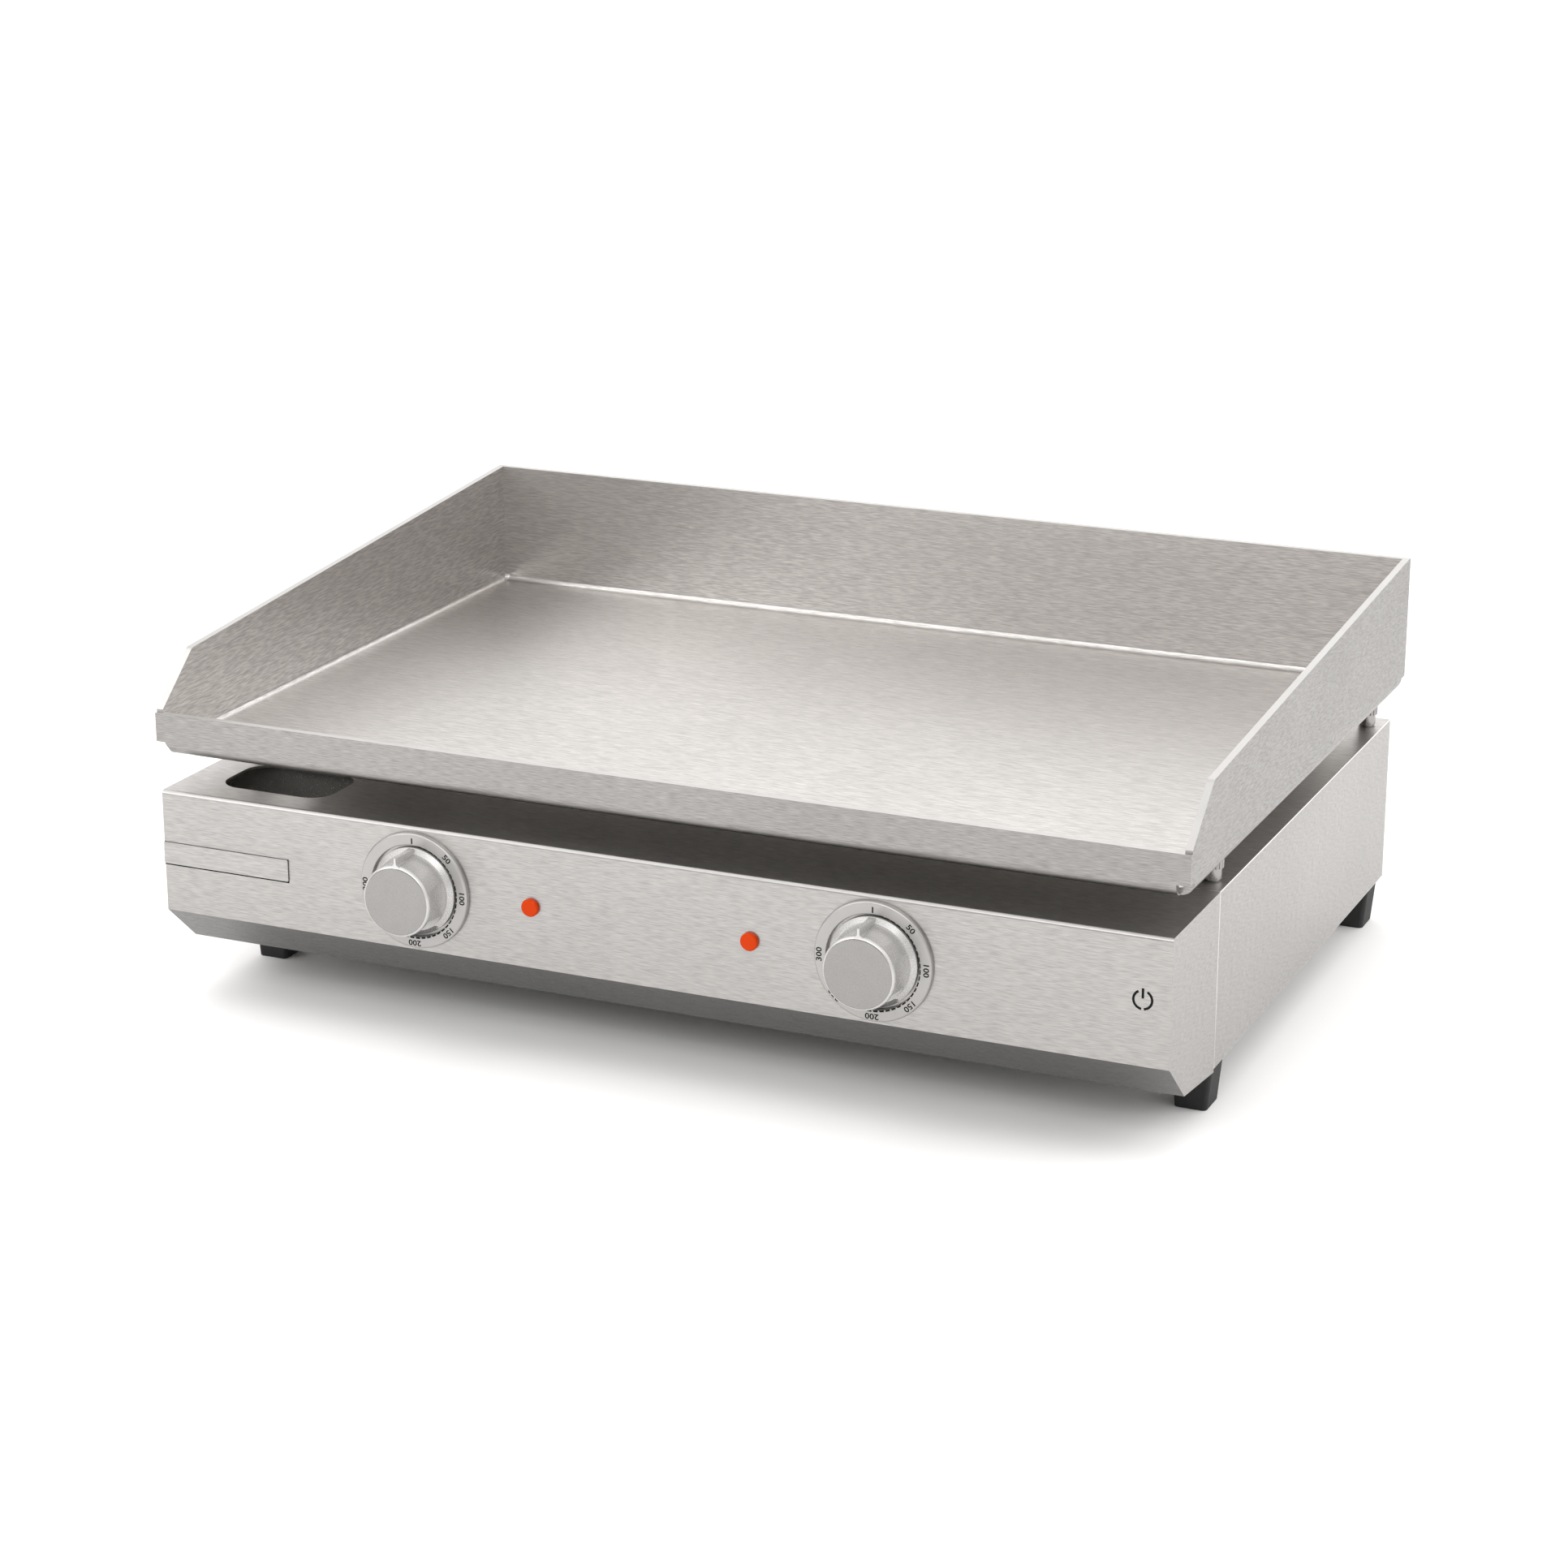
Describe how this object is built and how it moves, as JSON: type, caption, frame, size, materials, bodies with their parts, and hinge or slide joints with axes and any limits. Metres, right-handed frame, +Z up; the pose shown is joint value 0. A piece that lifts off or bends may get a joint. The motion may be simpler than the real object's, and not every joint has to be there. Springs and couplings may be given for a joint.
{
  "type": "electric griddle",
  "caption": "Table-top griddle: a folded steel cooking pan on posts above a sheet-metal base with dial controls, indicator lamps, a pull-out grease drawer and feet.",
  "frame": {"origin": "on the table under the middle of the griddle's bounding box", "axes": "+Z up, +X to the user's right, the dials face -Y"},
  "size_m": [0.6116, 0.462, 0.2272],
  "materials": {
    "brushed_steel_pan": "brushed, satin",
    "brushed_steel_base": "brushed, satin",
    "satin_steel": "satin",
    "tray_steel": "mill finish",
    "knob_metal": "satin",
    "zinc_steel": "zinc plated",
    "post_steel": "turned",
    "copper": "dull copper",
    "earth_brass": "turned brass",
    "element_sheath": "oxidised sheath",
    "lamp_orange": "clear orange lens",
    "black_plastic": "moulded",
    "rocker_plastic": "moulded",
    "terminal_plastic": "moulded",
    "white_ceramic": "glazed ceramic",
    "insulation": "mineral fibre mat",
    "wire_sleeve": "braided heat sleeve",
    "foot_rubber": "textured"
  },
  "bodies": {
    "frame": {"griddle_pan": "brushed_steel_pan", "front_fascia": "brushed_steel_base", "rear_housing": "brushed_steel_base", "joint_frame": "satin_steel", "bottom_cover": "satin_steel", "badge_plate": "satin_steel", "tray_guide": "tray_steel", "element_shroud": "tray_steel", "clamp_bars": "tray_steel", "dial_ring_left": "knob_metal", "dial_ring_right": "knob_metal", "thermostat_screws": "zinc_steel", "post_studs": "zinc_steel", "post_nuts": "zinc_steel", "clamp_studs": "zinc_steel", "clamp_nuts": "zinc_steel", "foot_screws": "zinc_steel", "cover_screws": "zinc_steel", "thermostat_left": "zinc_steel", "thermostat_right": "zinc_steel", "post_front_left": "post_steel", "post_front_right": "post_steel", "post_rear_left": "post_steel", "post_rear_right": "post_steel", "post_collars": "post_steel", "sensor_left": "copper", "sensor_right": "copper", "earth_stud": "earth_brass", "heating_element_left": "element_sheath", "heating_element_right": "element_sheath", "lamp_lens_left": "lamp_orange", "lamp_lens_right": "lamp_orange", "lamp_holder_left": "black_plastic", "lamp_holder_right": "black_plastic", "safety_cutout": "black_plastic", "switch_housing": "black_plastic", "cable_gland": "black_plastic", "gland_locknut": "black_plastic", "terminal_block": "terminal_plastic", "terminal_bushings": "white_ceramic", "insulation_mat": "insulation", "wiring": "wire_sleeve", "foot_front_left": "foot_rubber", "foot_front_right": "foot_rubber", "foot_rear_left": "foot_rubber", "foot_rear_right": "foot_rubber"},
    "knob_left": {"knob_left": "knob_metal", "thermostat_shaft_left": "zinc_steel"},
    "knob_right": {"knob_right": "knob_metal", "thermostat_shaft_right": "zinc_steel"},
    "drawer": {"drip_tray": "tray_steel", "tray_front": "satin_steel"},
    "rocker": {"rocker": "rocker_plastic"}
  },
  "joints": [
    {"name": "knob_left_turn", "type": "hinge", "parent": "frame", "child": "knob_left", "pos_m": [-0.137, -0.2084, 0.0916], "axis": [0, 1, 0], "range_deg": [0, 270]},
    {"name": "knob_right_turn", "type": "hinge", "parent": "frame", "child": "knob_right", "pos_m": [0.137, -0.2084, 0.0916], "axis": [0, 1, 0], "range_deg": [0, 270]},
    {"name": "drawer_slide", "type": "slide", "parent": "frame", "child": "drawer", "axis": [-1, 0, 0], "range_m": [0, 0.12]},
    {"name": "rocker_tilt", "type": "hinge", "parent": "frame", "child": "rocker", "pos_m": [0.262, -0.15778, 0.03146], "axis": [0, 0.9939, -0.1102], "range_deg": [-20, 0]}
  ]
}
